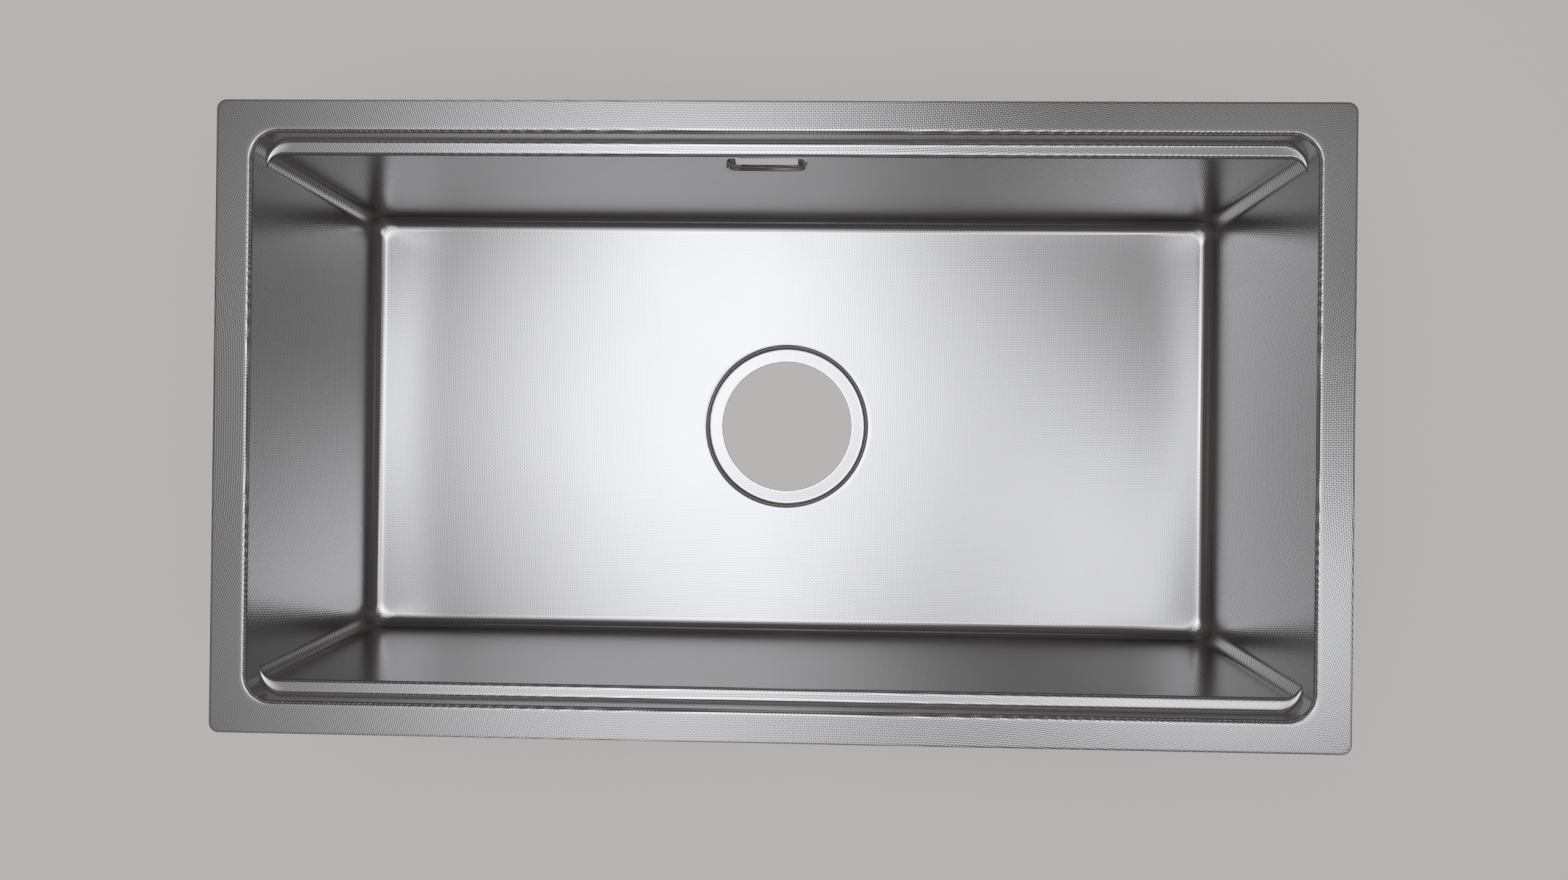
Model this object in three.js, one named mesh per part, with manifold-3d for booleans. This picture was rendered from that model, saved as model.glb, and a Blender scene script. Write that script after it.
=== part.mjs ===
import * as THREE from "three";
import { mergeVertices } from "three/addons/utils/BufferGeometryUtils.js";
import Module from "manifold-3d";

// A single-bowl undermount kitchen sink, in millimetres: one steel sheet drawn into a deep bowl
// with a flat flange, a ledge along the front and back walls, a pressed waste recess and a
// pressed overflow seat, and rubber pads glued to its outside to deaden it.
// +X points to the user's right, +Y to the back wall, +Z up. The origin is under the middle of
// the waste recess, whose flat underside the loose bowl stands on.

// Sheet and flange
const sheet = 1.2;
const flangeLength = 800;
const flangeWidth = 450;
const flangeCorner = 7;
const endFlange = 25.5;
const sideFlange = 23;
const rimBend = 3;

// Bowl walls
const draft = THREE.MathUtils.degToRad(4.2);
const rimCorner = 18.5;
const bowlCorner = 11;
const bowlDepth = 221;
const floorBend = 11.5;
const floorCorner = 13;

// Ledge along the front and back walls
const ledgeDepth = 22.5;
const ledgeFlat = 5.5;
const ledgeBend = 2.5;
const ledgeFall = THREE.MathUtils.degToRad(3);

// Floor and waste recess
const floorFall = 5;
const wasteHole = 55.5;
const seatFace = 66;
const seatBend = 2.5;
const lipBend = 2;
const lipLean = THREE.MathUtils.degToRad(84);
const wasteRecess = 4;

// Overflow seat in the back wall, left of the middle
const overflowX = -10.5;
const overflowDrop = 44.5;
const overflowLength = 56;
const overflowHeight = 32.5;
const overflowCorner = 6;
const overflowFrame = 5;
const overflowRecess = 2;
const overflowTaper = 1.2;

// Deadening pads
const padThickness = 3.5;
const padCorner = 8;
const padGlue = 0.4;
const padTop = 80;
const wallPadMargin = 15;
const wallPadSpacing = 90;
const basePadMargin = 26;
const basePadSpacing = 12;

// Fineness of the curves
const cornerSteps = 11;
const smallBendSteps = 3;
const rimBendSteps = 4;
const floorBendSteps = 6;
const floorRings = [0.3, 0.58, 0.82];
const padCornerSteps = 6;
const basePadColumns = 9;
const basePadRows = 6;
const padOversize = 1;

const plumb = Math.PI / 2 - draft;
const lipReach = seatFace + seatBend + lipBend;
const seatDepth = bowlDepth + floorFall + wasteRecess;
const rimHeight = seatDepth + sheet;
const wallFoot = bowlDepth - floorBend;
const wasm = await Module();
wasm.setup();

// Walks down the visible face of a wall. Its lean is the sheet's slope: 0 where the sheet lies
// flat and a right angle where it hangs plumb. reach is measured out from the bowl's middle.
class SectionWalk {
  constructor(reach, depth) {
    this.here = { reach, depth, lean: 0 };
    this.stations = [];
    this.mark();
  }
  mark() {
    this.stations.push({ ...this.here });
  }
  runInTo(reach) {
    const run = (this.here.reach - reach) / Math.cos(this.here.lean);
    this.here.depth += run * Math.sin(this.here.lean);
    this.here.reach = reach;
    this.mark();
  }
  runDownTo(depth) {
    const run = (depth - this.here.depth) / Math.sin(this.here.lean);
    this.here.reach -= run * Math.cos(this.here.lean);
    this.here.depth = depth;
    this.mark();
  }
  // Turns down round a centre behind the sheet, or back to the flat round one in the bowl.
  bendTo(lean, radius, steps) {
    const from = this.here;
    const side = lean > from.lean ? -radius : radius;
    const centreReach = from.reach - side * Math.sin(from.lean);
    const centreDepth = from.depth - side * Math.cos(from.lean);
    for (let step = 1; step <= steps; step++) {
      const turned = THREE.MathUtils.lerp(from.lean, lean, step / steps);
      this.here = {
        reach: centreReach + side * Math.sin(turned),
        depth: centreDepth + side * Math.cos(turned),
        lean: turned,
      };
      this.mark();
    }
  }
}

// One wall from the flange's edge to the floor. The ends of the bowl have no ledge, and pass
// the ledge's depths on a straight wall.
function wallSection(edge, flange, ledgeDepths) {
  const walk = new SectionWalk(edge, 0);
  walk.runInTo(edge - flange + rimBend);
  walk.bendTo(plumb, rimBend, rimBendSteps);
  if (ledgeDepths) {
    ledgeDepths.forEach((depth) => walk.runDownTo(depth));
  } else {
    walk.runDownTo(ledgeDepth - ledgeBend);
    walk.bendTo(ledgeFall, ledgeBend, smallBendSteps);
    walk.runInTo(walk.here.reach - ledgeFlat);
    walk.bendTo(plumb, ledgeBend, smallBendSteps);
  }
  walk.runDownTo(bowlDepth - floorBend * (1 - Math.cos(plumb)));
  walk.bendTo(0, floorBend, floorBendSteps);
  return walk.stations;
}

const sideWall = wallSection(flangeWidth / 2, sideFlange);
const ledgeFirst = 2 + rimBendSteps;
const ledgeCount = 2 + 2 * smallBendSteps;
const ledgeDepths = sideWall.slice(ledgeFirst, ledgeFirst + ledgeCount).map((at) => at.depth);
const endWall = wallSection(flangeLength / 2, endFlange, ledgeDepths);
const floorHalfLength = endWall.at(-1).reach;
const floorHalfWidth = sideWall.at(-1).reach;
const openingHalfWidth = flangeWidth / 2 - sideFlange;
const ledgeOuter = sideWall[ledgeFirst].reach;
const ledgeInner = sideWall[ledgeFirst + ledgeCount - 1].reach;

// How far a reach has gone from one to another, from 0 to 1.
function shareBetween(from, to, reach) {
  return THREE.MathUtils.clamp(THREE.MathUtils.inverseLerp(from, to, reach), 0, 1);
}

// The corner radius in plan of a station of the side wall. It tightens over the rim's bend and
// again across the ledge, and opens over the floor's bend.
function cornerAt(station) {
  if (station.depth === 0 && station.reach === flangeWidth / 2) return flangeCorner;
  if (station.depth < rimBend) return rimCorner + station.reach - openingHalfWidth;
  const overLedge = shareBetween(ledgeOuter, ledgeInner, station.reach);
  const bendStart = floorHalfWidth + floorBend * Math.sin(plumb);
  const overBend = shareBetween(bendStart, floorHalfWidth, station.reach);
  const wallCorner = THREE.MathUtils.lerp(rimCorner, bowlCorner, overLedge);
  return THREE.MathUtils.lerp(wallCorner, floorCorner, overBend);
}

// How far the floor lies below the rim: it falls from all four walls, and by its full fall
// where the waste's lip meets the bowl's long axis.
function floorDepthAt(x, y) {
  const fallAt = (reach, half) => 1 - Math.min(1, (reach / half) ** 2);
  const share = fallAt(x, floorHalfLength) * fallAt(y, floorHalfWidth);
  return bowlDepth + (floorFall * share) / fallAt(lipReach, floorHalfLength);
}

// A ring runs anticlockwise seen from above, with as many points in each of its four corners.
function ringOf(pointAt) {
  const ring = [];
  for (let corner = 0; corner < 4; corner++)
    for (let step = 0; step <= cornerSteps; step++) ring.push(pointAt(corner, step));
  return ring;
}

// A rounded rectangle. sink(weight) lowers a point, where weight is 1 on the long sides.
function roundedRing(halfLength, halfWidth, radius, sink) {
  const centreX = halfLength - radius;
  const centreY = halfWidth - radius;
  return ringOf((corner, step) => {
    const angle = ((corner + step / cornerSteps) * Math.PI) / 2;
    const signX = corner === 0 || corner === 3 ? 1 : -1;
    const signY = corner < 2 ? 1 : -1;
    const x = signX * centreX + radius * Math.cos(angle);
    const y = signY * centreY + radius * Math.sin(angle);
    return new THREE.Vector3(x, y, rimHeight - sink(Math.sin(angle) ** 2));
  });
}

function circleRing(radius, depthAt) {
  return ringOf((corner, step) => {
    const angle = ((corner + (step + 0.5) / (cornerSteps + 1)) * Math.PI) / 2;
    const x = radius * Math.cos(angle);
    const y = radius * Math.sin(angle);
    return new THREE.Vector3(x, y, rimHeight - depthAt(x, y));
  });
}

// A ring of the walls, on their visible face or behind it.
function wallRing(side, end, behind) {
  const sink = (weight) => {
    const facing = THREE.MathUtils.lerp(Math.cos(end.lean), Math.cos(side.lean), weight);
    return side.depth + behind * facing;
  };
  const endBehind = behind * Math.sin(end.lean);
  const sideBehind = behind * Math.sin(side.lean);
  const corner = cornerAt(side) + sideBehind;
  return roundedRing(end.reach + endBehind, side.reach + sideBehind, corner, sink);
}

// One face of the sheet, as rings from the flange's edge to the waste hole. behind is 0 for
// the visible face and the sheet's thickness for the outside.
function sheetFace(behind) {
  const walls = sideWall.map((side, index) => wallRing(side, endWall[index], behind));
  const lip = wasteLip();
  const lipRing = lipFace(lip[0], lip, behind);
  const floor = floorRings.map((share) =>
    walls.at(-1).map((point, index) => {
      const x = THREE.MathUtils.lerp(point.x, lipRing[index].x, share);
      const y = THREE.MathUtils.lerp(point.y, lipRing[index].y, share);
      return new THREE.Vector3(x, y, rimHeight - floorDepthAt(x, y) - behind);
    }),
  );
  return [...walls, ...floor, ...lip.map((station) => lipFace(station, lip, behind))];
}

// The pressed step round the waste, from the floor down to the hole's edge.
function wasteLip() {
  const walk = new SectionWalk(lipReach, floorDepthAt(lipReach, 0));
  walk.bendTo(lipLean, lipBend, smallBendSteps);
  walk.runDownTo(seatDepth - seatBend * (1 - Math.cos(lipLean)));
  walk.bendTo(0, seatBend, smallBendSteps);
  walk.runInTo(wasteHole);
  return walk.stations;
}

// A ring of the waste step. Its top follows the floor, which rises a little to the sides.
function lipFace(station, lip, behind) {
  const top = lip[0].depth;
  const sunk = (station.depth - top) / (seatDepth - top);
  return circleRing(station.reach + behind * Math.sin(station.lean), (x, y) => {
    const rise = (top - floorDepthAt(x, y)) * (1 - sunk);
    return station.depth - rise + behind * Math.cos(station.lean);
  });
}

// Skins a run of rings that closes on itself, or caps its first and last ring.
function loft(rings, closed) {
  const count = rings[0].length;
  const positions = rings.flat().flatMap((point) => [point.x, point.y, point.z]);
  const index = [];
  const bands = closed ? rings.length : rings.length - 1;
  for (let band = 0; band < bands; band++) {
    const near = band * count;
    const far = ((band + 1) % rings.length) * count;
    for (let at = 0; at < count; at++) {
      const next = (at + 1) % count;
      index.push(near + at, near + next, far + next, near + at, far + next, far + at);
    }
  }
  if (!closed)
    for (let at = 1; at < count - 1; at++) {
      const last = bands * count;
      index.push(0, at + 1, at, last, last + at, last + at + 1);
    }
  const geometry = new THREE.BufferGeometry();
  geometry.setAttribute("position", new THREE.Float32BufferAttribute(positions, 3));
  geometry.setIndex(index);
  return geometry;
}

function toSolid(geometry) {
  const bare = new THREE.BufferGeometry();
  bare.setAttribute("position", geometry.getAttribute("position"));
  bare.setIndex(geometry.getIndex());
  const merged = mergeVertices(bare, 1e-4);
  const vertProperties = new Float32Array(merged.getAttribute("position").array);
  const triVerts = new Uint32Array(merged.getIndex().array);
  return new wasm.Manifold(new wasm.Mesh({ numProp: 3, vertProperties, triVerts }));
}

function toGeometry(solid) {
  const mesh = solid.getMesh();
  const geometry = new THREE.BufferGeometry();
  geometry.setAttribute("position", new THREE.Float32BufferAttribute(mesh.vertProperties, 3));
  geometry.setIndex(new THREE.Uint32BufferAttribute(mesh.triVerts, 1));
  geometry.computeVertexNormals();
  return geometry;
}

// How far out the visible face of a wall is at a depth, below the ledge.
function reachAt(wall, depth) {
  const start = wall[ledgeFirst + ledgeCount - 1];
  return start.reach - (depth - start.depth) * Math.tan(draft);
}

// Turns a solid whose +Z points into the bowl to lie on a wall. turn swings it about the
// vertical, from the back wall.
function onWall(geometry, turn, along, reach, depth) {
  const place = new THREE.Matrix4().makeRotationZ(turn);
  place.multiply(new THREE.Matrix4().makeTranslation(along, reach, rimHeight - depth));
  place.multiply(new THREE.Matrix4().makeRotationX(Math.PI / 2 - draft));
  return geometry.applyMatrix4(place);
}

// A plug with rounded corners that widens from one height to another.
function taperedPlug(halfLength, halfWidth, radius, low, high, spread) {
  const ringAt = (height, grow) =>
    roundedRing(halfLength + grow, halfWidth + grow, radius + grow, () => rimHeight - height);
  return loft([ringAt(low, 0), ringAt(high, spread)], false);
}

// The overflow: a flat seat pressed outwards, with a slot cut through it.
function withOverflow(bowl) {
  const halfLength = overflowLength / 2 - overflowTaper;
  const halfHeight = overflowHeight / 2 - overflowTaper;
  const corner = overflowCorner - overflowTaper;
  const slotHalfLength = overflowLength / 2 - overflowFrame;
  const slotHalfHeight = overflowHeight / 2 - overflowFrame;
  const slotCorner = overflowCorner - overflowFrame / 2;
  const back = overflowRecess + sheet;
  // Each plug runs from below the wall's face to above it, and keeps its slope all the way.
  const boss = taperedPlug(
    halfLength + sheet,
    halfHeight + sheet,
    corner + sheet,
    -back,
    -sheet / 2,
    overflowTaper,
  );
  const recess = taperedPlug(
    halfLength,
    halfHeight,
    corner,
    -overflowRecess,
    overflowRecess,
    2 * overflowTaper,
  );
  const slot = taperedPlug(slotHalfLength, slotHalfHeight, slotCorner, -2 * back, back, 0);
  const reach = reachAt(sideWall, overflowDrop);
  const place = (plug) => toSolid(onWall(plug, 0, overflowX, reach, overflowDrop));
  return bowl.add(place(boss)).subtract(place(recess)).subtract(place(slot));
}

function basin() {
  const rings = [...sheetFace(0), ...sheetFace(sheet).reverse()];
  return toGeometry(withOverflow(toSolid(loft(rings, true))));
}

function roundedOutline(length, width, radius) {
  const shape = new THREE.Shape();
  const x = length / 2;
  const y = width / 2;
  shape.moveTo(x, y - radius);
  shape.absarc(x - radius, y - radius, radius, 0, Math.PI / 2);
  shape.absarc(radius - x, y - radius, radius, Math.PI / 2, Math.PI);
  shape.absarc(radius - x, radius - y, radius, Math.PI, Math.PI * 1.5);
  shape.absarc(x - radius, radius - y, radius, Math.PI * 1.5, Math.PI * 2);
  return shape;
}

// A flat pad glued to the outside of a wall, with the same top and foot on all four walls.
function wallPad(length, turn, along, wall) {
  const padFoot = wallFoot - wallPadMargin;
  const middle = (padTop + padFoot) / 2;
  const pad = new THREE.ExtrudeGeometry(roundedOutline(length, padFoot - padTop, padCorner), {
    depth: padThickness,
    bevelEnabled: false,
    curveSegments: padCornerSteps,
  });
  pad.translate(0, 0, -sheet - padGlue - padThickness);
  return onWall(pad, turn, along, reachAt(wall, middle), middle);
}

// A pad under the floor: a rounded block whose two faces follow the floor's fall.
function basePad(signX, signY) {
  const length = floorHalfLength - lipReach - 2 * basePadMargin;
  const width = floorHalfWidth - basePadMargin - basePadSpacing / 2;
  const centreX = signX * (lipReach + basePadMargin + length / 2);
  const centreY = (signY * (basePadSpacing + width)) / 2;
  const slabLength = length + 2 * padOversize;
  const slabWidth = width + 2 * padOversize;
  const slab = new THREE.BoxGeometry(slabLength, slabWidth, 1, basePadColumns, basePadRows, 1);
  slab.translate(centreX, centreY, 0);
  const position = slab.getAttribute("position");
  for (let at = 0; at < position.count; at++) {
    const floor = rimHeight - floorDepthAt(position.getX(at), position.getY(at));
    const top = floor - sheet - padGlue;
    position.setZ(at, position.getZ(at) > 0 ? top : top - padThickness);
  }
  const lowest = -padThickness;
  const cutter = new THREE.ExtrudeGeometry(roundedOutline(length, width, padCorner), {
    depth: rimHeight - bowlDepth - lowest,
    bevelEnabled: false,
    curveSegments: padCornerSteps,
  });
  cutter.translate(centreX, centreY, lowest);
  return toGeometry(toSolid(slab).intersect(toSolid(cutter)));
}

const root = new THREE.Group();

function addPiece(name, geometry, material) {
  const mesh = new THREE.Mesh(geometry, material);
  mesh.name = name;
  root.add(mesh);
}

const steel = { color: 0xc9c8c4, roughness: 0.25, metalness: 1 };
const rubber = { color: 0x4a4a4a, roughness: 0.85, metalness: 0 };
const newRubber = () => new THREE.MeshStandardMaterial(rubber);

addPiece("basin", basin(), new THREE.MeshStandardMaterial(steel));

const longPad = reachAt(endWall, wallFoot) - bowlCorner - wallPadMargin - wallPadSpacing / 2;
const endPad = 2 * (reachAt(sideWall, wallFoot) - bowlCorner - wallPadMargin);

for (const [sideName, signX] of [["left", -1], ["right", 1]]) {
  for (const [rowName, signY] of [["front", -1], ["rear", 1]]) {
    const turn = signY > 0 ? 0 : Math.PI;
    const along = (signX * signY * (wallPadSpacing + longPad)) / 2;
    const pad = wallPad(longPad, turn, along, sideWall);
    addPiece(`${rowName}_wall_pad_${sideName}`, pad, newRubber());
    addPiece(`base_pad_${rowName}_${sideName}`, basePad(signX, signY), newRubber());
  }
  const turn = (-signX * Math.PI) / 2;
  addPiece(`${sideName}_wall_pad`, wallPad(endPad, turn, 0, endWall), newRubber());
}

export default root;
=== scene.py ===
from collections import namedtuple
from math import atan2, copysign, cos, pi, radians, sin, tan

import bpy
from mathutils import Matrix, Vector


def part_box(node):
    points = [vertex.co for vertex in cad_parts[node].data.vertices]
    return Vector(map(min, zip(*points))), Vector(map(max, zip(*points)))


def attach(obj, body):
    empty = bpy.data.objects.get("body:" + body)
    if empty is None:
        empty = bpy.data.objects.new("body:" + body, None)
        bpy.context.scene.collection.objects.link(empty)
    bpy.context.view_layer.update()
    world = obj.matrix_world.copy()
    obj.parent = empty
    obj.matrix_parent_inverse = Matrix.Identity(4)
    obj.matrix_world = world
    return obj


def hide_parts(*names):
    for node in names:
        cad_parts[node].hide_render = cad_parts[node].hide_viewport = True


# A single-bowl undermount kitchen sink of embossed stainless steel, seen from above.
# Metres, +X to the user's right, +Y to the back wall, +Z up, origin under the waste recess.

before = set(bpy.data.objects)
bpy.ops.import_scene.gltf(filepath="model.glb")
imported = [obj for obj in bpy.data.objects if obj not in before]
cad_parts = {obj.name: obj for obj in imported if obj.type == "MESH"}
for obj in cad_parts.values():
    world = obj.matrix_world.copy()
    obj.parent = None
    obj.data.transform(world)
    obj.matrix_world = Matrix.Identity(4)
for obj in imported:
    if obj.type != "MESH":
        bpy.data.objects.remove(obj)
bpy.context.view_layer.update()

MM = 0.001
flange_low, flange_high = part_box("basin")
FLANGE_LENGTH = flange_high.x - flange_low.x
FLANGE_WIDTH = flange_high.y - flange_low.y
RIM_HEIGHT = flange_high.z

# Sheet and flange
SHEET = 1.2 * MM
FLANGE_CORNER = 7 * MM
END_FLANGE = 25.5 * MM
SIDE_FLANGE = 23 * MM
RIM_BEND = 3 * MM
CUT_ROUND = 0.4 * MM

# Bowl walls
DRAFT = radians(4.2)
PLUMB = pi / 2 - DRAFT
RIM_CORNER = 18.5 * MM
BOWL_CORNER = 11 * MM
BOWL_DEPTH = 221 * MM
FLOOR_BEND = 11.5 * MM
FLOOR_CORNER = 13 * MM

# Ledge along the front and back walls
LEDGE_DEPTH = 22.5 * MM
LEDGE_FLAT = 5.5 * MM
LEDGE_BEND = 2.5 * MM
LEDGE_FALL = radians(3)

# Floor and waste recess
SEAT_DEPTH = RIM_HEIGHT - SHEET
FLOOR_FALL = 5 * MM
WASTE_HOLE = 55.5 * MM
SEAT_FACE = 66 * MM
SEAT_BEND = 2.5 * MM
LIP_BEND = 2 * MM
LIP_REACH = SEAT_FACE + SEAT_BEND + LIP_BEND
LIP_LEAN = radians(84)

# Overflow seat in the back wall
OVERFLOW_X = -10.5 * MM
OVERFLOW_DROP = 44.5 * MM
OVERFLOW_LENGTH = 56 * MM
OVERFLOW_HEIGHT = 32.5 * MM
OVERFLOW_CORNER = 6 * MM
OVERFLOW_FRAME = 5 * MM
OVERFLOW_RECESS = 2 * MM
OVERFLOW_TAPER = 1.2 * MM
OVERFLOW_BEND = 0.9 * MM
OVERFLOW_MARGIN = 2.4 * MM
SLOT_CORNER = 3.5 * MM

# Embossed dots: their pitch on the flat blank, how steep their sides are, and how far the large
# and the small ones differ, where 0 would make them all alike
DOT_PITCH = 3.13 * MM
DOT_TILT = 0.055
DOT_DIFFERENCE = 0.6

# How deep the dots stand in the pressed bowl, against those on the flange
RIM_DOTS = 1.5
WALL_DOTS = 0.7
FLOOR_DOTS = 0.4

# How the press has moved the blank. A draw of 0.68 means that a millimetre down the wall was
# 0.68 mm of the blank. A crowding of 0.18 means that a millimetre along the flange's edge was
# 1.18 mm of the blank. The rows bow towards a corner with the power ROW_BOW.
WALL_DRAW = 0.68
FLANGE_DRAW = 0.93
LONG_SIDE_CROWDING = 0.18
END_SIDE_CROWDING = 0.28
ROW_BOW = 3

# Finishes
EMBOSSED_STEEL = (0.725, 0.722, 0.725, 1)
EMBOSSED_ROUGHNESS = 0.19
PLAIN_STEEL = (0.74, 0.738, 0.735, 1)
PLAIN_ROUGHNESS = 0.45
RUBBER = (0.06, 0.06, 0.062, 1)
RUBBER_ROUGHNESS = 0.75
RUBBER_GRAIN = 0.2 * MM

# Fineness of the mesh
CORNER_STEPS = 20
LONG_STEPS = 22
END_STEPS = 14
FLANGE_STEPS = 2
UPPER_WALL_STEPS = 3
LEDGE_STEPS = 1
LOWER_WALL_STEPS = 9
BEND_STEPS = 8
SMALL_BEND_STEPS = 5
CUT_STEPS = 4
WASTE_SEAT_STEPS = 3
FRAME_STEPS = 3
SEAT_COLUMNS = 24
SEAT_ROWS = 16
SEAT_ARC_STEPS = 4
SUPPORT = 1.5 * MM

# Where the floor's rings lie between the walls and the waste. They are closer at both ends.
FLOOR_SHARES = [
    0.012, 0.035, 0.08, 0.15, 0.24, 0.34, 0.45, 0.56, 0.67, 0.77, 0.86, 0.93, 0.97, 0.988]

# Camera, from the photograph's perspective
CAMERA_PLACE = (43.1 * MM, -16.0 * MM, 1196.4 * MM)
CAMERA_TURN = (radians(0.227), radians(2.176), radians(0.694))
CAMERA_LENS = 31.71

# Studio: pale floor and walls, and soft lamps that face straight down. The lamps overlap, so each
# hangs at a height of its own, because only one of two in the same plane would be counted.
FLOOR_COLOUR = (0.70, 0.685, 0.672, 1)
FLOOR_ROUGHNESS = 0.8
FLOOR_LIFT = 0.45
STUDIO_HALF = 4.0
STUDIO_WALL = 1.1
ROOM_COLOUR = (0.076, 0.07, 0.066, 1)
ROOM_LIFT = 5
LAMP_CORE = 0.35
LAMP_COLOUR = (0.985, 1.0, 1.03)
Softbox = namedtuple("Softbox", "name place size radiance")
SOFTBOXES = [
    Softbox("overhead softbox", (-0.36, 0.0, 2.43), (1.6, 3.6), 0.74),
    Softbox("middle softbox", (0.02, 0.1, 2.44), (2.0, 0.9), 0.66),
    Softbox("front right softbox", (0.95, -0.4, 2.45), (1.6, 1.2), 0.92),
    Softbox("back right softbox", (1.05, 0.6, 2.46), (1.3, 0.7), 0.33),
    Softbox("left softbox", (-1.3, -0.1, 2.47), (1.1, 3.0), 0.2),
]


def blend(near, far, share):
    return near + (far - near) * share


def share_between(near, far, reach):
    """How far a reach has gone from one to another, from 0 to 1."""
    return min(1, max(0, (reach - near) / (far - near)))


def between(near, far, steps):
    """Even steps from near to far, near left out."""
    return [blend(near, far, step / steps) for step in range(1, steps + 1)]


def flat_run(near, far, steps):
    """Even steps with one more close to each end, so that a bend's shading stays at the bend."""
    toward = SUPPORT if far > near else -SUPPORT
    return [near + toward] + between(near + toward, far - toward, steps) + [far]


# Section of the sheet. A station is a place down the visible face: its reach from the bowl's
# middle, its depth below the rim, the sheet's lean, which is 0 where it lies flat and a right angle
# where it hangs plumb, and the run of sheet passed so far.
Station = namedtuple("Station", "reach depth lean run")


class SectionWalk:
    """Walks down the visible face and marks the stations on its way."""

    def __init__(self, reach, depth=0.0):
        self.reach = reach
        self.depth = depth
        self.lean = 0.0
        self.run = 0.0
        self.stations = []
        self.mark()

    def mark(self):
        self.stations.append(Station(self.reach, self.depth, self.lean, self.run))

    def go(self, length):
        self.reach -= length * cos(self.lean)
        self.depth += length * sin(self.lean)
        self.run += length
        self.mark()

    def in_to(self, reaches):
        for reach in reaches:
            self.go((self.reach - reach) / cos(self.lean))

    def down_to(self, depths):
        for depth in depths:
            self.go((depth - self.depth) / sin(self.lean))

    def bend_to(self, lean, radius, steps):
        side = -radius if lean > self.lean else radius
        start = self.lean
        centre_reach = self.reach - side * sin(start)
        centre_depth = self.depth - side * cos(start)
        for step in range(1, steps + 1):
            self.lean = blend(start, lean, step / steps)
            self.reach = centre_reach + side * sin(self.lean)
            self.depth = centre_depth + side * cos(self.lean)
            self.run += radius * abs(lean - start) / steps
            self.mark()


def lower_wall_depths():
    """Depths of the rings between the ledge and the floor's bend, even across the overflow."""
    half = OVERFLOW_HEIGHT / 2 + OVERFLOW_MARGIN
    low = BOWL_DEPTH - FLOOR_BEND * (1 - cos(PLUMB))
    rows = between(OVERFLOW_DROP - half, OVERFLOW_DROP + half, SEAT_ROWS)
    return [OVERFLOW_DROP - half] + rows + flat_run(OVERFLOW_DROP + half, low, LOWER_WALL_STEPS)


def wall_section(edge, flange, ledge_depths=None):
    """The section from the flange's edge to the floor. An end wall has no ledge, and takes its
    rings at the depths of the side walls' ledge instead."""
    walk = SectionWalk(edge - CUT_ROUND)
    walk.in_to(flat_run(edge - CUT_ROUND, edge - flange + RIM_BEND, FLANGE_STEPS))
    walk.bend_to(PLUMB, RIM_BEND, BEND_STEPS)
    if ledge_depths:
        walk.down_to(ledge_depths)
    else:
        walk.down_to(flat_run(walk.depth, LEDGE_DEPTH - LEDGE_BEND, UPPER_WALL_STEPS))
        walk.bend_to(LEDGE_FALL, LEDGE_BEND, SMALL_BEND_STEPS)
        walk.in_to(flat_run(walk.reach, walk.reach - LEDGE_FLAT, LEDGE_STEPS))
        walk.bend_to(PLUMB, LEDGE_BEND, SMALL_BEND_STEPS)
    walk.down_to(lower_wall_depths())
    walk.bend_to(0, FLOOR_BEND, 2 * BEND_STEPS)
    return walk.stations


# Numbers of the rings down the section. A flat run has two rings more than its steps.
FLANGE_RINGS = 1 + FLANGE_STEPS + 2
UPPER_WALL_START = FLANGE_RINGS + BEND_STEPS
LEDGE_START = UPPER_WALL_START + UPPER_WALL_STEPS + 2
LOWER_WALL_START = LEDGE_START + LEDGE_STEPS + 2 + 2 * SMALL_BEND_STEPS

SIDE_WALL = wall_section(FLANGE_WIDTH / 2, SIDE_FLANGE)
LEDGE_DEPTHS = [station.depth for station in SIDE_WALL[UPPER_WALL_START:LOWER_WALL_START]]
END_WALL = wall_section(FLANGE_LENGTH / 2, END_FLANGE, LEDGE_DEPTHS)
WALL_RINGS = len(SIDE_WALL)
FLOOR_HALF_LENGTH = END_WALL[-1].reach
FLOOR_HALF_WIDTH = SIDE_WALL[-1].reach
LEDGE_OUTER = SIDE_WALL[LEDGE_START - 1].reach
LEDGE_INNER = SIDE_WALL[LOWER_WALL_START - 1].reach


def corner_at(station):
    """The corner radius in plan of a station of the side wall. It tightens over the rim's bend
    and again across the ledge, and opens over the floor's bend."""
    if station.depth == 0:
        share = (FLANGE_WIDTH / 2 - station.reach) / (SIDE_FLANGE - RIM_BEND)
        return blend(FLANGE_CORNER, RIM_CORNER + RIM_BEND, share)
    if station.depth < RIM_BEND:
        return RIM_CORNER + station.reach - (FLANGE_WIDTH / 2 - SIDE_FLANGE)
    over_ledge = share_between(LEDGE_OUTER, LEDGE_INNER, station.reach)
    bend_start = FLOOR_HALF_WIDTH + FLOOR_BEND * sin(PLUMB)
    over_bend = share_between(bend_start, FLOOR_HALF_WIDTH, station.reach)
    return blend(blend(RIM_CORNER, BOWL_CORNER, over_ledge), FLOOR_CORNER, over_bend)


def floor_depth_at(x, y):
    """How far the floor lies below the rim: it falls from all four walls to the waste's lip."""
    def fall_at(reach, half):
        return 1 - min(1, (reach / half) ** 2)

    share = fall_at(x, FLOOR_HALF_LENGTH) * fall_at(y, FLOOR_HALF_WIDTH)
    return BOWL_DEPTH + FLOOR_FALL * share / fall_at(LIP_REACH, FLOOR_HALF_LENGTH)


# A column is a place round the bowl: a corner, a share of its turn, and a share of the straight
# wall that follows it. Columns run anticlockwise seen from above, from the right wall's back end,
# so a long wall follows the corners 0 and 2.
Column = namedtuple("Column", "corner turn along")


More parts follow.
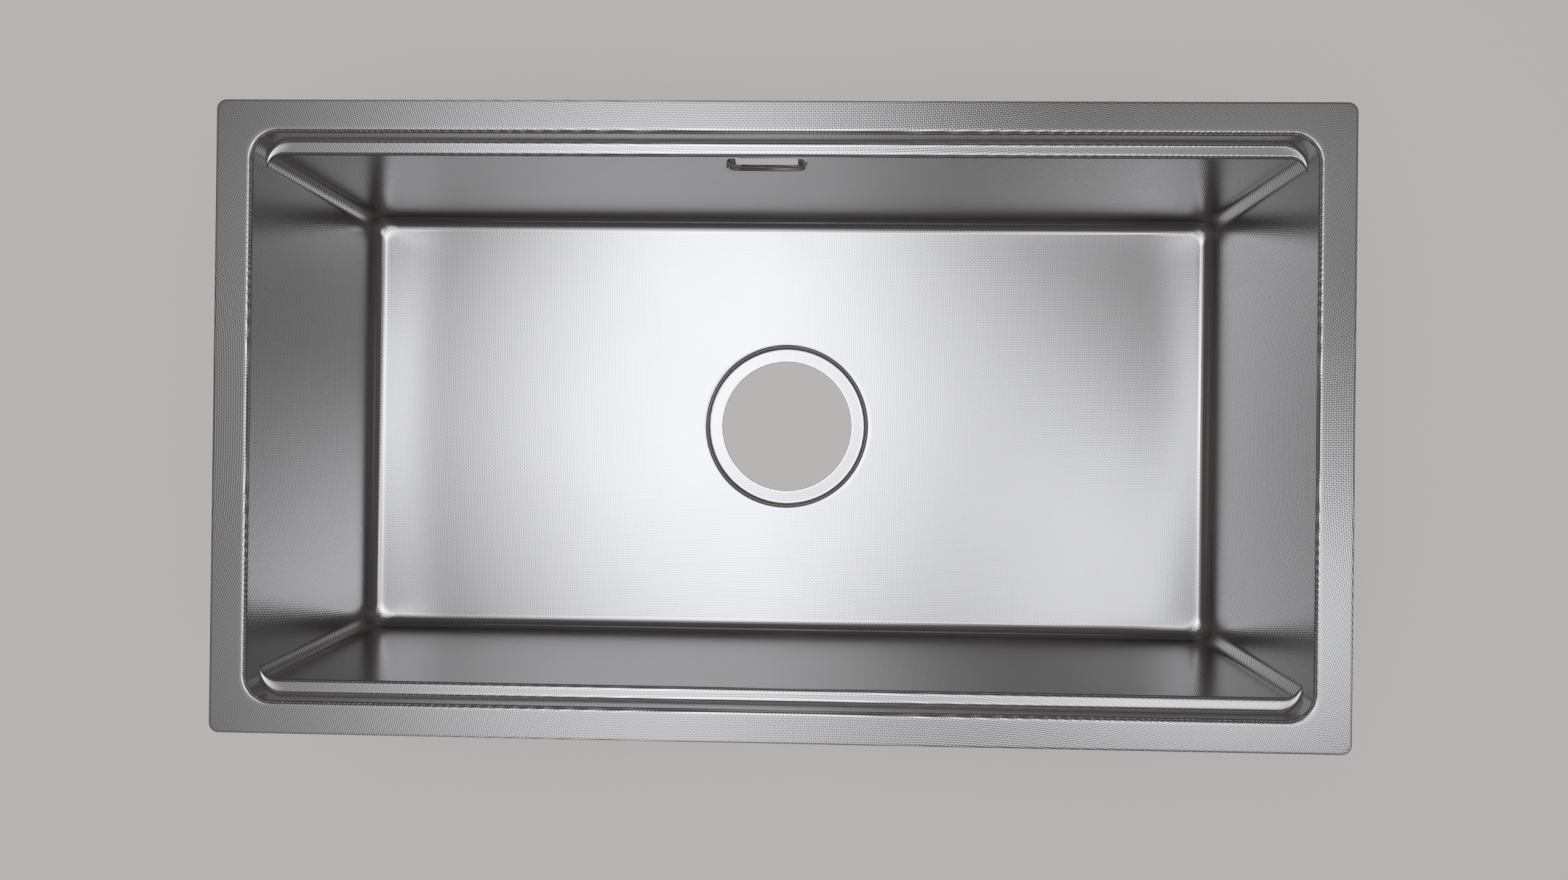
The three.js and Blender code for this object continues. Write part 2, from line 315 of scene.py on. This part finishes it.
def seat_shares():
    """The even columns across the overflow, on the back wall from right to left."""
    wall = END_WALL[LOWER_WALL_START + SEAT_ROWS // 2]
    half_wall = wall.reach - BOWL_CORNER
    half = OVERFLOW_LENGTH / 2 + OVERFLOW_MARGIN
    places = [OVERFLOW_X + half] + between(OVERFLOW_X + half, OVERFLOW_X - half, SEAT_COLUMNS)
    return [(half_wall - x) / (2 * half_wall) for x in places]


def straight_shares(corner):
    """Where the columns stand on the wall after a corner, from 0 to 1."""
    long_follows = corner % 2 == 0
    steps = LONG_STEPS if long_follows else END_STEPS
    edge = SUPPORT / (FLANGE_LENGTH / 2 if long_follows else FLANGE_WIDTH / 2)
    if corner:
        return [edge] + between(edge, 1 - edge, steps)
    seat = seat_shares()
    to_seat = between(edge, seat[0], steps // 2)
    from_seat = between(seat[-1], 1 - edge, steps // 2)
    return [edge] + to_seat + seat[1:] + from_seat


COLUMNS = []
for corner in range(4):
    COLUMNS += [Column(corner, step / CORNER_STEPS, 0) for step in range(CORNER_STEPS + 1)]
    COLUMNS += [Column(corner, 1, share) for share in straight_shares(corner)]

# The overflow's first and last column, halfway along the back wall
SEAT_FIRST = CORNER_STEPS + 1 + LONG_STEPS // 2
SEAT_LAST = SEAT_FIRST + SEAT_COLUMNS


def corner_point(corner, turn, half_length, half_width, radius):
    angle = (corner + turn) * pi / 2
    sign_x = 1 if corner in (0, 3) else -1
    sign_y = 1 if corner < 2 else -1
    x = sign_x * (half_length - radius) + radius * cos(angle)
    y = sign_y * (half_width - radius) + radius * sin(angle)
    return x, y, sin(angle) ** 2


def column_point(column, half_length, half_width, radius):
    """x, y and the share of the long wall's section that holds at this column."""
    start = corner_point(column.corner, column.turn, half_length, half_width, radius)
    if not column.along:
        return start
    end = corner_point((column.corner + 1) % 4, 0, half_length, half_width, radius)
    return tuple(blend(a, b, column.along) for a, b in zip(start, end))


def wall_ring(index, behind):
    """One ring of the walls, on the visible face or behind it by the sheet's thickness."""
    side, end = SIDE_WALL[index], END_WALL[index]
    ring = []
    for column in COLUMNS:
        x, y, weight = column_point(
            column,
            end.reach + behind * sin(end.lean),
            side.reach + behind * sin(side.lean),
            corner_at(side) + behind * sin(side.lean))
        back = behind * blend(cos(end.lean), cos(side.lean), weight)
        ring.append(Vector((x, y, RIM_HEIGHT - side.depth - back)))
    return ring


def edge_ring(inset, depth):
    """A ring of the flange's cut edge."""
    ring = []
    for column in COLUMNS:
        x, y, _ = column_point(
            column, FLANGE_LENGTH / 2 - inset, FLANGE_WIDTH / 2 - inset, FLANGE_CORNER - inset)
        ring.append(Vector((x, y, RIM_HEIGHT - depth)))
    return ring


def round_ring(reach, depth_at):
    """A ring round the waste, with its columns spread as the walls' are."""
    ring = []
    for column in COLUMNS:
        x, y, _ = column_point(column, FLOOR_HALF_LENGTH, FLOOR_HALF_WIDTH, FLOOR_CORNER)
        angle = atan2(y / FLOOR_HALF_WIDTH, x / FLOOR_HALF_LENGTH)
        x, y = reach * cos(angle), reach * sin(angle)
        ring.append(Vector((x, y, RIM_HEIGHT - depth_at(x, y))))
    return ring


def waste_section():
    """From the floor over the recess's step and in over its seat to the hole."""
    walk = SectionWalk(LIP_REACH, floor_depth_at(LIP_REACH, 0))
    walk.bend_to(LIP_LEAN, LIP_BEND, SMALL_BEND_STEPS)
    walk.down_to([SEAT_DEPTH - SEAT_BEND * (1 - cos(LIP_LEAN))])
    walk.bend_to(0, SEAT_BEND, SMALL_BEND_STEPS)
    walk.in_to(flat_run(walk.reach, WASTE_HOLE + CUT_ROUND, WASTE_SEAT_STEPS))
    return walk.stations


def waste_ring(station, top, behind):
    """A ring of the waste step. Its top follows the floor, which rises a little to the sides."""
    sunk = (station.depth - top) / (SEAT_DEPTH - top)

    def depth_at(x, y):
        rise = (top - floor_depth_at(x, y)) * (1 - sunk)
        return station.depth - rise + behind * cos(station.lean)

    return round_ring(station.reach + behind * sin(station.lean), depth_at)


def floor_rings(outer, inner, behind):
    """The rings between the walls and the waste, laid on the falling floor."""
    def on_floor(place):
        depth = floor_depth_at(place.x, place.y)
        return Vector((place.x, place.y, RIM_HEIGHT - depth - behind))

    return [
        [on_floor(near.lerp(far, share)) for near, far in zip(outer, inner)]
        for share in FLOOR_SHARES]


def face_rings(behind):
    """One face of the sheet, as rings from the flange's edge to the waste hole."""
    walls = [wall_ring(index, behind) for index in range(WALL_RINGS)]
    lip = waste_section()
    waste = [waste_ring(station, lip[0].depth, behind) for station in lip]
    return walls + floor_rings(walls[-1], waste[0], behind) + waste


def cut_profile():
    """Inset and depth down a cut edge, rounded at the top by the shears."""
    turns = [step * pi / 2 / CUT_STEPS for step in range(1, CUT_STEPS + 1)]
    profile = [(CUT_ROUND * (1 - sin(turn)), CUT_ROUND * (1 - cos(turn))) for turn in turns]
    return profile + [(0, SHEET - CUT_ROUND / 4)]


# Places in the list of the bowl's materials
EMBOSSED, PLAIN = range(2)


class Skin:
    """Collects the faces of the sheet, with the depth of the dots at each point and the point's
    place on the flat blank, counted in dots."""

    def __init__(self):
        self.points = []
        self.dot_depths = []
        self.blank_places = []
        self.faces = []
        self.finishes = []

    def add_points(self, points, dot_depth=0.0, blank_places=None):
        first = len(self.points)
        self.points += points
        self.dot_depths += [dot_depth] * len(points)
        self.blank_places += blank_places or [(0.0, 0.0)] * len(points)
        return list(range(first, len(self.points)))

    def join(self, near, far, finish, left_out=()):
        """Faces between two rings of points."""
        for at in range(len(near)):
            if at in left_out:
                continue
            after = (at + 1) % len(near)
            self.faces.append((near[at], near[after], far[after], far[at]))
            self.finishes.append(finish)

    def mesh(self, name):
        mesh = bpy.data.meshes.new(name)
        mesh.from_pydata(self.points, [], self.faces)
        places = mesh.uv_layers.new(name="blank")
        for loop in mesh.loops:
            places.data[loop.index].uv = self.blank_places[loop.vertex_index]
        depth = mesh.attributes.new("dot_depth", "FLOAT", "POINT")
        depth.data.foreach_set("value", self.dot_depths)
        mesh.polygons.foreach_set("material_index", self.finishes)
        mesh.polygons.foreach_set("use_smooth", [True] * len(self.faces))
        mesh.update()
        return mesh


def blank_runs(wall):
    """The blank's run from the floor's edge out to each ring, by way of a wall."""
    runs = [0.0]
    for outer, inner in zip(wall[-2::-1], wall[:0:-1]):
        draw = blend(FLANGE_DRAW, WALL_DRAW, sin(min(inner.lean, outer.lean)))
        runs.append(runs[-1] + draw * (inner.run - outer.run))
    return runs[::-1]


SIDE_BLANK = blank_runs(SIDE_WALL)
END_BLANK = blank_runs(END_WALL)

# One way across the bowl, for a point of a ring: the point's place, the half of the ring's straight
# part, the half of the floor, and the crowding along the sides that run this way.
Way = namedtuple("Way", "place straight floor crowding")


def blank_place(index, column):
    """Where a point of a wall or of the flange lay on the flat blank, counted in dots. Each half
    of a corner goes with the side next to it, and the rows bow to meet those of the other side."""
    side, end = SIDE_WALL[index], END_WALL[index]
    radius = corner_at(side)
    half_arc = radius * pi / 4
    x, y, weight = column_point(column, end.reach, side.reach, radius)
    out = blend(END_BLANK[index], SIDE_BLANK[index], weight)
    drawn = out / END_BLANK[0]
    past_middle = column.turn >= 0.5
    on_long_side = past_middle == (column.corner % 2 == 0)
    lengthways = Way(x, end.reach - radius, FLOOR_HALF_LENGTH, LONG_SIDE_CROWDING)
    crossways = Way(y, side.reach - radius, FLOOR_HALF_WIDTH, END_SIDE_CROWDING)
    along, away = (lengthways, crossways) if on_long_side else (crossways, lengthways)
    if column.along:
        run = abs(along.place)
    else:
        turned = 1 - column.turn if past_middle else column.turn
        run = along.straight + radius * turned * pi / 2
    across = away.floor + out
    next_run = (away.straight + half_arc) * (1 + drawn * away.crowding)
    bow = (run / (along.straight + half_arc)) ** ROW_BOW
    blank_along = copysign(run * (1 + drawn * along.crowding), along.place)
    blank_away = copysign(across - (across - next_run) * bow, away.place)
    blank_x, blank_y = (blank_along, blank_away) if on_long_side else (blank_away, blank_along)
    return blank_x / DOT_PITCH, blank_y / DOT_PITCH


def dots_on_ring(index):
    """How deep the dots stand at a ring. They fade from the walls' to the floor's over the lower
    half of the floor's bend."""
    if index < FLANGE_RINGS:
        return 1.0
    if index < UPPER_WALL_START:
        return RIM_DOTS
    return blend(WALL_DOTS, FLOOR_DOTS, share_between(WALL_RINGS - BEND_STEPS, WALL_RINGS, index))


def add_dotted_face(skin):
    """The visible face of the sheet, ring by ring, with its dots."""
    rings = []
    for index, ring in enumerate(face_rings(0)):
        if index < WALL_RINGS:
            places = [blank_place(index, column) for column in COLUMNS]
        else:
            places = [(point.x / DOT_PITCH, point.y / DOT_PITCH) for point in ring]
        rings.append(skin.add_points(ring, dots_on_ring(index), places))
    return rings


def overflow_frame():
    """Places the overflow's own x, y and height on the slanted back wall."""
    wall = SIDE_WALL[LOWER_WALL_START]
    reach = wall.reach - (OVERFLOW_DROP - wall.depth) * tan(DRAFT)
    place = Matrix.Translation((OVERFLOW_X, reach, RIM_HEIGHT - OVERFLOW_DROP))
    return place @ Matrix.Rotation(pi / 2 - DRAFT, 4, "X")


def rounded_place(side, step, steps, half_length, half_height, radius):
    """A point of a rounded rectangle, counted in steps from the middle of a corner's arc."""
    along = (half_length, half_height)[side % 2]
    across = (half_height, half_length)[side % 2]
    mirrored = step > steps - SEAT_ARC_STEPS
    arc = min(step, steps - step)
    if arc <= SEAT_ARC_STEPS:
        angle = pi / 4 * (1 + arc / SEAT_ARC_STEPS)
        x = along - radius + radius * cos(angle)
        y = across - radius + radius * sin(angle)
        x = -x if mirrored else x
    else:
        share = (step - SEAT_ARC_STEPS) / (steps - 2 * SEAT_ARC_STEPS)
        x = (along - radius) * (1 - 2 * share)
        y = across
    return [(x, y), (-y, x), (-x, -y), (y, -x)][side]


def seat_ring(inset, depth, radius):
    """A ring of the overflow seat, inset from its outer frame and sunk below the wall's face."""
    place = overflow_frame()
    half_length = OVERFLOW_LENGTH / 2 - inset
    half_height = OVERFLOW_HEIGHT / 2 - inset
    ring = []
    for side in range(4):
        steps = (SEAT_COLUMNS, SEAT_ROWS)[side % 2]
        for step in range(steps):
            x, y = rounded_place(side, step, steps, half_length, half_height, radius)
            ring.append(place @ Vector((x, y, -depth)))
    return ring


def seat_section():
    """Down the overflow seat's slanted sides and in over its frame. reach is minus the inset."""
    slope = atan2(OVERFLOW_RECESS, OVERFLOW_TAPER)
    tangent = OVERFLOW_BEND * tan(slope / 2)
    walk = SectionWalk(tangent)
    walk.bend_to(slope, OVERFLOW_BEND, SMALL_BEND_STEPS)
    walk.down_to([OVERFLOW_RECESS - OVERFLOW_BEND * (1 - cos(slope))])
    walk.bend_to(0, OVERFLOW_BEND, SMALL_BEND_STEPS)
    walk.in_to(between(walk.reach, CUT_ROUND / 2 - OVERFLOW_FRAME, FRAME_STEPS))
    return walk.stations


def seat_rings(behind):
    """One face of the overflow seat. Its corners tighten from the frame's to the slot's."""
    rings = []
    for station in seat_section():
        reach = station.reach + behind * sin(station.lean)
        depth = station.depth + behind * cos(station.lean)
        share = share_between(0, OVERFLOW_FRAME, -station.reach)
        radius = blend(OVERFLOW_CORNER + reach, SLOT_CORNER, share ** 2)
        rings.append(seat_ring(-reach, depth, radius))
    return rings


def add_overflow(skin, openings):
    """Fills the two gaps left in the back wall with the pressed seat and its slot. The wall's dots
    end where the seat's first bend starts."""
    front, back = [
        [opening] + [skin.add_points(ring) for ring in seat_rings(behind)]
        for behind, opening in zip((0, SHEET), openings)]
    slot = [
        skin.add_points(seat_ring(OVERFLOW_FRAME, OVERFLOW_RECESS + depth, SLOT_CORNER))
        for depth in (CUT_ROUND / 2, SHEET - CUT_ROUND / 4)]
    chain = front + slot + back[::-1]
    for at, (near, far) in enumerate(zip(chain, chain[1:])):
        skin.join(near, far, PLAIN if at else EMBOSSED)


def opening_edge(rings, top, down):
    """The points round the gap for the overflow, from its upper right corner by way of the top."""
    bottom = top + down * SEAT_ROWS
    edge = rings[top][SEAT_FIRST:SEAT_LAST]
    edge += [rings[row][SEAT_LAST] for row in range(top, bottom, down)]
    edge += rings[bottom][SEAT_LAST:SEAT_FIRST:-1]
    return edge + [rings[row][SEAT_FIRST] for row in range(bottom, top, -down)]


def bowl_mesh():
    """The whole sheet: its visible face, the waste hole's edge, its outside and its cut edge."""
    skin = Skin()
    rings = add_dotted_face(skin)
    for inset, depth in cut_profile():
        hole_edge = round_ring(WASTE_HOLE + inset, lambda x, y: SEAT_DEPTH + depth)
        rings.append(skin.add_points(hole_edge))
    outside_start = len(rings)
    rings += [skin.add_points(ring) for ring in face_rings(SHEET)[::-1]]
    outside_end = len(rings) - 1
    rings += [skin.add_points(edge_ring(inset, depth)) for inset, depth in cut_profile()[::-1]]

    gap_rows = [LOWER_WALL_START + row for row in range(SEAT_ROWS)]
    gap_rows += [outside_end - row - 1 for row in gap_rows]
    for at, ring in enumerate(rings):
        after = rings[(at + 1) % len(rings)]
        finish = PLAIN if outside_start <= at <= outside_end else EMBOSSED
        skin.join(ring, after, finish, range(SEAT_FIRST, SEAT_LAST) if at in gap_rows else ())
    add_overflow(skin, [
        opening_edge(rings, LOWER_WALL_START, 1),
        opening_edge(rings, outside_end - LOWER_WALL_START, -1)])
    return skin.mesh("embossed_bowl")


def link(obj):
    bpy.context.scene.collection.objects.link(obj)
    return obj


def feed(tree, socket, value):
    """Links a socket to another node's output, or sets it to a plain value."""
    if isinstance(value, bpy.types.NodeSocket):
        tree.links.new(value, socket)
    else:
        socket.default_value = value


def add_node(tree, kind, inputs, **settings):
    """Adds a shader node, sets it up and feeds its inputs by name."""
    new = tree.nodes.new("ShaderNode" + kind)
    for key, value in settings.items():
        setattr(new, key, value)
    for key, value in inputs.items():
        feed(tree, new.inputs[key], value)
    return new


def calculate(tree, kind, operation, values):
    """Adds a Math or Vector Math node and feeds the inputs that its operation has, in turn."""
    new = add_node(tree, kind, {}, operation=operation)
    for socket, value in zip([socket for socket in new.inputs if socket.enabled], values):
        feed(tree, socket, value)
    return new.outputs[0]


def math_node(tree, operation, *values):
    return calculate(tree, "Math", operation, values)


def vector_node(tree, operation, *values):
    return calculate(tree, "VectorMath", operation, values)


def new_group(name, inputs, outputs):
    """A shader node group with named sockets: (name, type, default) in and (name, type) out."""
    group = bpy.data.node_groups.new(name, "ShaderNodeTree")
    for label, kind, default in inputs:
        socket = group.interface.new_socket(label, in_out="INPUT", socket_type="NodeSocket" + kind)
        if default is not None:
            socket.default_value = default
    for label, kind in outputs:
        group.interface.new_socket(label, in_out="OUTPUT", socket_type="NodeSocket" + kind)
    given = group.nodes.new("NodeGroupInput").outputs
    out = group.nodes.new("NodeGroupOutput").inputs
    return group, given, out


def use_group(tree, group, **inputs):
    return add_node(tree, "Group", inputs, node_tree=group).outputs[0]


def embossed_dots():
    """The tilt of a sheet embossed with large and small dots in turn, as a normal map's colour.
    The large ones stand in staggered rows, one for each whole step of Place along and across."""
    inputs = [
        ("Place", "Vector", None),
        ("Tilt", "Float", 0.1),
        ("Difference", "Float", 0.5),
        ("Depth", "Float", 1.0)]
    group, given, out = new_group("embossed dots", inputs, [("Normal colour", "Color")])
    turn = vector_node(group, "MULTIPLY", given["Place"], (2 * pi, 2 * pi, 0))
    cosine = vector_node(group, "COSINE", turn)
    split = add_node(group, "SeparateXYZ", {"Vector": cosine}).outputs
    crossed = add_node(group, "CombineXYZ", {"X": split["Y"], "Y": split["X"]}).outputs[0]
    uneven = vector_node(group, "SCALE", crossed, given["Difference"])
    slope = vector_node(group, "ADD", vector_node(group, "SCALE", cosine, 2.0), uneven)
    slope = vector_node(group, "MULTIPLY", vector_node(group, "SINE", turn), slope)
    tilt = math_node(group, "MULTIPLY", given["Tilt"], given["Depth"])
    slope = vector_node(group, "SCALE", slope, tilt)
    colour = vector_node(group, "MULTIPLY_ADD", slope, (0.5, 0.5, 0.5), (0.5, 0.5, 1.0))
    group.links.new(colour, out["Normal colour"])
    return group


def soft_clouds():
    """Soft clouds over a surface, about Middle and as strong as Spread."""
    inputs = [
        ("Place", "Vector", None),
        ("Scale", "Float", 8.0),
        ("Middle", "Float", 0.5),
        ("Spread", "Float", 0.1)]
    group, given, out = new_group("soft clouds", inputs, [("Value", "Float")])
    noise = add_node(
        group, "TexNoise", {"Vector": given["Place"], "Scale": given["Scale"], "Detail": 3.0})
    centred = math_node(group, "SUBTRACT", noise.outputs["Fac"], 0.5)
    swing = math_node(group, "MULTIPLY", centred, given["Spread"])
    group.links.new(math_node(group, "ADD", swing, given["Middle"]), out["Value"])
    return group


def clouded_material(name, colour, clouds, **cloud_values):
    """A material whose roughness is clouded a little. Returns its shader and its Object place."""
    material = bpy.data.materials.new(name)
    material.use_nodes = True
    tree = material.node_tree
    shader = tree.nodes["Principled BSDF"]
    place = add_node(tree, "TexCoord", {}).outputs["Object"]
    feed(tree, shader.inputs["Roughness"], use_group(tree, clouds, Place=place, **cloud_values))
    shader.inputs["Base Color"].default_value = colour
    return material, shader, place


def embossed_steel(dots, clouds):
    material, shader, _ = clouded_material(
        "embossed steel", EMBOSSED_STEEL, clouds,
        Scale=9.0, Middle=EMBOSSED_ROUGHNESS, Spread=0.05)
    tree = material.node_tree
    shader.inputs["Metallic"].default_value = 1
    colour = use_group(
        tree, dots,
        Place=add_node(tree, "UVMap", {}, uv_map="blank").outputs[0],
        Depth=add_node(tree, "Attribute", {}, attribute_name="dot_depth").outputs["Fac"],
        Tilt=DOT_TILT,
        Difference=DOT_DIFFERENCE)
    tilt = add_node(tree, "NormalMap", {"Color": colour}, uv_map="blank")
    tree.links.new(tilt.outputs[0], shader.inputs["Normal"])
    return material


def plain_steel(clouds):
    material, shader, _ = clouded_material(
        "plain steel", PLAIN_STEEL, clouds, Scale=14.0, Middle=PLAIN_ROUGHNESS, Spread=0.1)
    shader.inputs["Metallic"].default_value = 1
    return material


def deadening_rubber(clouds):
    material, shader, place = clouded_material(
        "deadening rubber", RUBBER, clouds, Scale=40.0, Middle=RUBBER_ROUGHNESS, Spread=0.2)
    tree = material.node_tree
    grain = add_node(tree, "TexNoise", {"Vector": place, "Scale": 900.0}).outputs["Fac"]
    bump = add_node(tree, "Bump", {"Height": grain, "Distance": RUBBER_GRAIN})
    tree.links.new(bump.outputs[0], shader.inputs["Normal"])
    return material


def pale_floor():
    """A pale material that looks lighter to the camera and in the steel than it is lit."""
    material = bpy.data.materials.new("pale floor")
    material.use_nodes = True
    tree = material.node_tree
    shader = tree.nodes["Principled BSDF"]
    shader.inputs["Base Color"].default_value = FLOOR_COLOUR
    shader.inputs["Roughness"].default_value = FLOOR_ROUGHNESS
    shader.inputs["Emission Color"].default_value = FLOOR_COLOUR
    ray = add_node(tree, "LightPath", {}).outputs
    seen = math_node(tree, "MAXIMUM", ray["Is Camera Ray"], ray["Is Glossy Ray"])
    seen = math_node(tree, "MAXIMUM", seen, ray["Is Transmission Ray"])
    tree.links.new(math_node(tree, "MULTIPLY", seen, FLOOR_LIFT), shader.inputs["Emission Strength"])
    return material


def add_floor():
    """A pale floor with pale walls far behind it, open at the top."""
    near, far = -STUDIO_HALF, STUDIO_HALF
    corners = [(near, near), (far, near), (far, far), (near, far)]
    points = [(x, y, z) for z in (0, STUDIO_WALL) for x, y in corners]
    walls = [(at, at + 4, (at + 1) % 4 + 4, (at + 1) % 4) for at in range(4)]
    mesh = bpy.data.meshes.new("floor")
    mesh.from_pydata(points, [], [(0, 1, 2, 3)] + walls)
    mesh.materials.append(pale_floor())
    link(bpy.data.objects.new("floor", mesh))


def soft_edge(tree, share):
    """1 over the middle of a lamp's face, falling softly to 0 where share is 0 or 1."""
    off_middle = math_node(tree, "ABSOLUTE", math_node(tree, "SUBTRACT", share, 0.5))
    inputs = {"Value": off_middle, "From Min": 0.5, "From Max": LAMP_CORE / 2}
    return add_node(tree, "MapRange", inputs, interpolation_type="SMOOTHSTEP").outputs[0]


def add_softbox(softbox):
    """A lamp that faces straight down, as bright as its radiance in the middle and soft at its
    edges."""
    lamp = bpy.data.lights.new(softbox.name, "AREA")
    lamp.shape = "RECTANGLE"
    lamp.size, lamp.size_y = softbox.size
    lamp.energy = softbox.radiance * pi * softbox.size[0] * softbox.size[1]
    lamp.color = LAMP_COLOUR
    lamp.use_nodes = True
    tree = lamp.node_tree
    place = add_node(tree, "NewGeometry", {}).outputs["Parametric"]
    face = add_node(tree, "SeparateXYZ", {"Vector": place}).outputs
    glow = math_node(tree, "MULTIPLY", soft_edge(tree, face["X"]), soft_edge(tree, face["Y"]))
    tree.links.new(glow, tree.nodes["Emission"].inputs["Strength"])
    link(bpy.data.objects.new(softbox.name, lamp)).location = softbox.place


def add_room():
    """The dim room beyond the studio's walls, paler where the camera sees it."""
    world = bpy.data.worlds.new("studio")
    world.use_nodes = True
    tree = world.node_tree
    room = tree.nodes["Background"]
    seen = add_node(tree, "LightPath", {}).outputs["Is Camera Ray"]
    lift = math_node(tree, "MULTIPLY", seen, ROOM_LIFT)
    tree.links.new(math_node(tree, "ADD", lift, 1), room.inputs["Strength"])
    room.inputs["Color"].default_value = ROOM_COLOUR
    bpy.context.scene.world = world


def add_camera():
    camera = bpy.data.cameras.new("camera")
    camera.lens = CAMERA_LENS
    obj = link(bpy.data.objects.new("camera", camera))
    obj.location = CAMERA_PLACE
    obj.rotation_euler = CAMERA_TURN
    bpy.context.scene.camera = obj


dots, clouds = embossed_dots(), soft_clouds()
bowl = link(bpy.data.objects.new("embossed_bowl", bowl_mesh()))
bowl.data.materials.append(embossed_steel(dots, clouds))
bowl.data.materials.append(plain_steel(clouds))
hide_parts("basin")
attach(bowl, "root")

rubber = deadening_rubber(clouds)
for name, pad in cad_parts.items():
    if "pad" in name:
        pad.data.materials.clear()
        pad.data.materials.append(rubber)

add_floor()
for softbox in SOFTBOXES:
    add_softbox(softbox)
add_room()
add_camera()
bpy.context.scene.view_settings.view_transform = "Standard"
